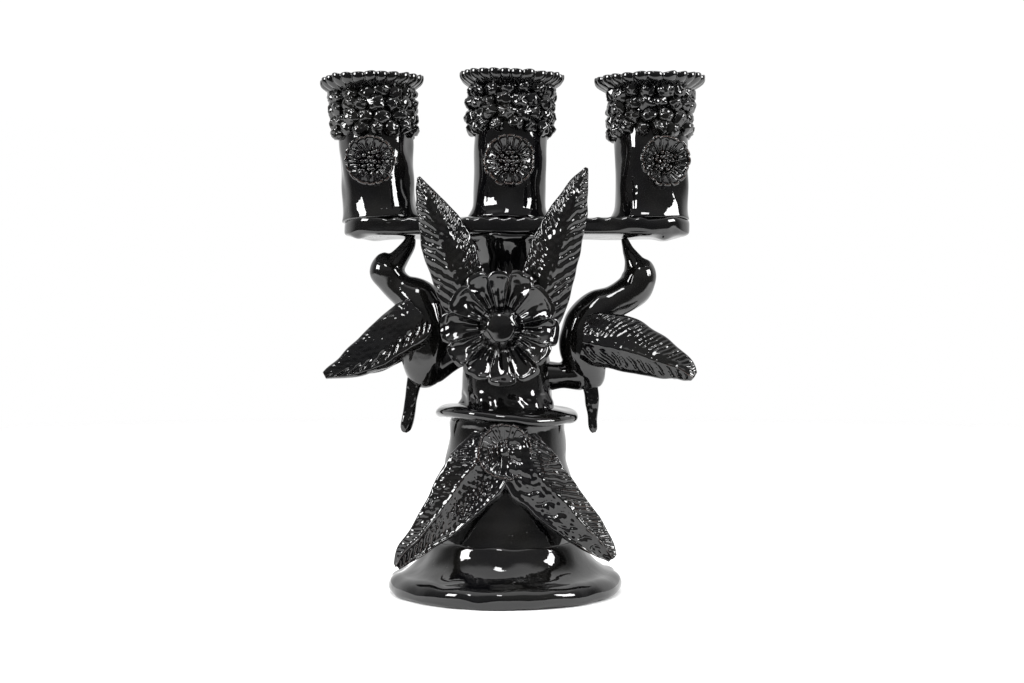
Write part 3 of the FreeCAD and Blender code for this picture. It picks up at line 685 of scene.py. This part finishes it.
base_leaf_runs = {
    "left": [(55.4, 8.2, 75.1, 10), (52.4, 6.2, 64.1, 16.5), (48.4, 4.7, 55.1, 19), (41.4, 3.7, 46.6, 17.4),
             (31.4, 2.2, 33.6, 14.4), (16.6, 3.2, 17.1, 9), (6.4, 5.7, 7.3, 6), (1.6, 8.7, 1.3, 2.6)],
    "right": [(13.1, 8.2, 71.4, 9), (15.1, 6.2, 60.4, 15.5), (18.7, 4.7, 50.4, 18), (26.6, 3.7, 41.9, 16.2),
              (39.9, 2.2, 27.7, 14), (50.6, 3.2, 17.4, 10.8), (58.7, 5.7, 9.4, 7.8), (65.5, 8.7, 1.4, 3.2)],
}
base_leaf_marks = {
    "left": tooled(-0.22, 1.2, (2.9, 0.8, 0.3, 0.06, 0.90, 1.0), (5.0, 1.7, 1.8, 0.10, 0.72, 0.9), lip=2.2,
                   crumpled=0.25, vein=1.3),
    "right": tooled(-0.16, 3.6, (4.2, 1.2, 1.3, 0.04, 1.0, 0.8), (9.0, -0.6, 1.2, 0.2, 0.70, 4.0), lip=1.4,
                    crumpled=0.2, vein=0.5),
}
for number, (side, stations) in enumerate(base_leaf_runs.items()):
    leaf = slab_blade(f"base_leaf_{side}", stations, base_leaf_marks[side], 3.8, 620 + number)
    glazed(skin(f"base_leaf_{side}_veined", [leaf]), f"base_leaf_{side}", material=worked_glaze)

# The two birds: each modelled from one lump, body, curved neck, head and drawn-out beak, and held to the
# column by a stout strap of clay. The beaks touch the crossbar's underside.


def rolled(stations, rows=70, columns=44):
    """A round rolled form in the plane of the crossbar, through stations (x, z, radius)."""
    run = through(np.asarray(stations, float), rows)
    ahead = np.gradient(run[:, :2], axis=0)
    ahead /= np.linalg.norm(ahead, axis=1, keepdims=True)
    turn = np.linspace(0, 2 * math.pi, columns, endpoint=False)[None, :]
    side = run[:, 2:] * np.cos(turn)
    return np.stack([run[:, :1] - ahead[:, 1:] * side, run[:, 2:] * np.sin(turn),
                     run[:, 1:2] + ahead[:, :1] * side], axis=-1)


def melted(piece, grain, passes):
    """Joins a piece's overlapping forms into one lump on a fine grid, then smooths the joins."""
    joined = piece.modifiers.new("joined", "REMESH")
    joined.mode = "VOXEL"
    joined.voxel_size = grain * MM
    soft = piece.modifiers.new("soft", "SMOOTH")
    soft.factor = 0.5
    soft.iterations = passes
    depsgraph = bpy.context.evaluated_depsgraph_get()
    mesh = bpy.data.meshes.new_from_object(piece.evaluated_get(depsgraph))
    piece.modifiers.clear()
    piece.data = mesh
    mesh.polygons.foreach_set("use_smooth", np.ones(len(mesh.polygons), bool))
    return piece


bird_forms = {
    "left": {
        "figure": [(1, -31, 3.5), (1, -27.5, 8.5), (0.8, -19, 12.6), (0.8, -7, 14.6), (0.8, 4, 15),
                   (0, 13, 14.8), (-3.2, 20.5, 13.6), (-8.6, 25.2, 11.6), (-14.3, 29, 9.5),
                   (-18.8, 33.5, 9.4), (-22.2, 39.2, 10), (-22, 45.5, 7.8), (-20.5, 49.6, 3.5)],
        "beak": [(-20, 41, 8), (-15, 46.5, 6.4), (-11, 51.8, 4.8), (-8.5, 56, 3.8), (-7.2, 60, 3.2)],
        "strap": [(5, -21, 8.5), (14, -14, 8.5), (23, -9, 8), (30, -6, 9)],
    },
    "right": {
        "figure": [(6, -29, 4.5), (5, -25, 8.2), (3, -18, 11.6), (0.5, -8, 13.8), (0, 2, 14.3),
                   (3.5, 12, 13.5), (10, 18.5, 11.8), (18.2, 22.6, 10.2), (26, 26.8, 9.8),
                   (31.5, 31.2, 10.2), (33.9, 38, 10), (33.6, 43.5, 8.2), (32, 48.3, 4)],
        "beak": [(32.5, 42, 8), (30, 48.5, 5.4), (27, 54, 3.4), (25, 59.3, 2.4), (24.7, 61.2, 2.2)],
        "strap": [(-1, -21, 9.5), (-11, -21.5, 7.8), (-19, -21.5, 8.8), (-26, -21, 9)],
    },
}
bird_grain = 0.8
for number, (side, forms) in enumerate(bird_forms.items()):
    middle = node_middle(f"bird_body_{side}")
    grids = [rolled(stations) + middle for stations in forms.values()]
    grids = [by_hand(grid, 0.35, 16, 700 + number) for grid in grids]
    bird = melted(skin(f"bird_{side}_modelled", grids), bird_grain, 10)
    glazed(bird, f"bird_body_{side}", f"bird_neck_{side}", f"bird_head_{side}", f"bird_beak_{side}",
           f"bird_strap_{side}")

# The wings: leaf-shaped slabs luted to the birds' flanks, with a ridge along each and feathers scored by a
# tool. The left bird's are notched above the ridge. The right bird's are combed above it and scored below.

wing_runs = {
    "left": [(56.6, 12.5, 37.1, 12.5), (50.6, 11.8, 32.1, 15), (43.1, 10.8, 27.2, 14.2),
             (32.2, 8.5, 18.3, 12.8), (21.5, 6.5, 11.6, 10.3), (9, 4, 5.4, 5.9), (0.4, 2, 1.8, 2)],
    "right": [(-3.8, 13, 25.3, 13), (5.2, 12, 23.8, 16), (18.2, 10, 21.6, 16.2), (29.5, 8, 17.3, 14.6),
             (41.3, 5.5, 12.3, 12), (50.7, 3.7, 8.3, 8.8), (57, 2.5, 4.3, 6.2), (60.4, 1.9, 1.9, 3.2)],
}
unmarked = (6.4, 0.0, 0.0, 0.5, 0.9, 1.0)
wing_marks = {
    "left": tooled(0.78, 3.6, (6.2, -1.6, 1.5, 0.03, 0.34, 2.0), unmarked, soft=0.10),
    "right": tooled(0.22, 6.0, (3.4, 0.9, 0.55, 0.30, 0.96, 1.0), (6.3, 1.6, 1.0, 0.20, 0.78, 4.0), vein=0.4),
}
for number, (side, stations) in enumerate(wing_runs.items()):
    for way in ("front", "back"):
        node = f"wing_{way}_{side}"
        run = np.array(stations, float)
        if way == "back":
            run[:, 1] = (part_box(node)[1][1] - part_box(node)[0][1]) / MM - run[:, 1]
        wing = slab_blade(node, run, wing_marks[side], 4.4, 720 + number, mirrored=way == "back")
        glazed(skin(f"wing_{way}_{side}_scored", [wing]), node, material=worked_glaze)

# The tails: a thin strip of clay pulled down from each rump with wet fingers.
# Each narrows downwards and ends round.

tail_runs = {
    "left": [(9.1, 1.8, 36.3, 4.5), (6.9, 1.8, 25.3, 3.9), (5.1, 1.8, 13.3, 3.8), (3.3, 1.8, 3.8, 3.4),
             (2.7, 1.8, 1.1, 2.5), (2.5, 1.8, -0.1, 1.2)],
    "right": [(4.4, 1.8, 33.7, 5.4), (6.1, 1.8, 25.7, 4.7), (6.7, 1.8, 17.7, 3.9), (7.1, 1.8, 8.7, 3),
             (7.7, 1.8, 2.1, 2.6), (8, 1.8, -0.3, 1.3)],
}
for number, (side, stations) in enumerate(tail_runs.items()):
    face = tooled(0.1, 1.2, (9.0, 0.5, 0.2, 0.1, 0.9, 1.0), (7.0, 0.5, 0.2, 0.1, 0.9, 1.0), soft=0.3)
    tail = slab_blade(f"tail_{side}", stations, face, 5.0, 740 + number, rows=90, across=24)
    glazed(skin(f"tail_{side}_pulled", [tail]), f"tail_{side}")

# The table top: a pale matt sweep under the object, which takes its soft shadow.
# It fades into the light around it, and sooner on the viewer's side, where the glaze has to mirror dark.

sweep_radius = 6.0
sweep_corners = 96
ring = np.linspace(0, 2 * math.pi, sweep_corners, endpoint=False)
rim = np.stack([sweep_radius * np.cos(ring), sweep_radius * np.sin(ring), 0 * ring], axis=-1)
table_mesh = bpy.data.meshes.new("pale_table")
table_mesh.from_pydata(rim, [], [list(range(sweep_corners))])
table = bpy.data.objects.new("pale_table", table_mesh)
bpy.context.scene.collection.objects.link(table)
pale = bpy.data.materials.new("pale_sweep")
pale.use_nodes = True
pale.node_tree.nodes.clear()
cloth = Shade(pale.node_tree)
spot = cloth.node("ShaderNodeTexCoord", out="Object")
across = cloth.node("ShaderNodeSeparateXYZ", out="X", Vector=spot)
deep = cloth.node("ShaderNodeSeparateXYZ", out="Y", Vector=spot)
near_side = deep.sum("MINIMUM", deep, 0.0) * 4.5
away = (across * across + near_side * near_side + deep * deep) ** 0.5
paper = cloth.node("ShaderNodeBsdfDiffuse", Color=(0.92, 0.92, 0.92, 1))
clear = cloth.node("ShaderNodeBsdfTransparent")
faded = cloth.node("ShaderNodeMixShader", i0=away.between(1.1, 2.0), i1=paper, i2=clear)
pale.node_tree.links.new(faded.socket, pale.node_tree.nodes.new("ShaderNodeOutputMaterial").inputs["Surface"])
table_mesh.materials.append(pale)

# The light: a white studio that the glaze mirrors as dark on the viewer's side, and pale behind and overhead.
# Three soft boxes give the crisp lights on the glaze, one to each side of the viewer and one high up.

world = bpy.data.worlds.new("studio")
bpy.context.scene.world = world
world.use_nodes = True
world.node_tree.nodes.clear()
air = Shade(world.node_tree)
way = air.node("ShaderNodeTexCoord", out="Generated")
level = air.node("ShaderNodeSeparateXYZ", out="Y", Vector=way)
height = air.node("ShaderNodeSeparateXYZ", out="Z", Vector=way)
mirrored = 0.10 + level.between(-0.1, 0.5) * 0.85 + height.between(-0.1, 0.5) * 0.14
mirrored = mirrored + height.between(0.72, 0.90) * 1.0
path = air.node("ShaderNodeLightPath", out="Is Camera Ray")
soft = air.node("ShaderNodeLightPath", out="Is Diffuse Ray")
strength = path.sum("MAXIMUM", path, soft.sum("MAXIMUM", soft, mirrored))
sky = air.node("ShaderNodeBackground", Color=(1, 1, 1, 1), Strength=strength)
world.node_tree.links.new(sky.socket, world.node_tree.nodes.new("ShaderNodeOutputWorld").inputs["Surface"])


def soft_box(name, azimuth, rise, away, wide, tall, power):
    """An area light aimed at the object's middle; azimuth in degrees round from the viewer, to the right."""
    lamp = bpy.data.lights.new(name, "AREA")
    lamp.shape = "RECTANGLE"
    lamp.size = wide
    lamp.size_y = tall
    lamp.energy = power
    box = bpy.data.objects.new(name, lamp)
    bpy.context.scene.collection.objects.link(box)
    turn = math.radians(azimuth)
    place = np.array((away * math.sin(turn), -away * math.cos(turn), rise))
    aim = place - np.array((0, 0, 0.17))
    box.location = place
    box.rotation_euler = (math.acos(aim[2] / np.linalg.norm(aim)), 0, math.atan2(aim[0], -aim[1]))
    box.visible_camera = False


soft_box("left_box", -58, 0.66, 1.2, 0.50, 0.46, 17)
soft_box("right_box", 68, 0.64, 1.2, 0.46, 0.44, 14)
soft_box("high_box", -8, 1.25, 0.9, 0.30, 0.30, 5)

# The viewer: a 50 mm lens, straight on and level with the middle of the column.
# It stands 0.85 m in front of the column.

eye = bpy.data.cameras.new("viewer")
eye.lens = 50
eye.sensor_width = 36
viewer = bpy.data.objects.new("viewer", eye)
viewer.location = (0.003, -0.853, 0.149)
viewer.rotation_euler = (math.pi / 2, 0, 0)
bpy.context.scene.collection.objects.link(viewer)
bpy.context.scene.camera = viewer
bpy.context.scene.view_settings.view_transform = "Standard"

bpy.context.view_layer.update()
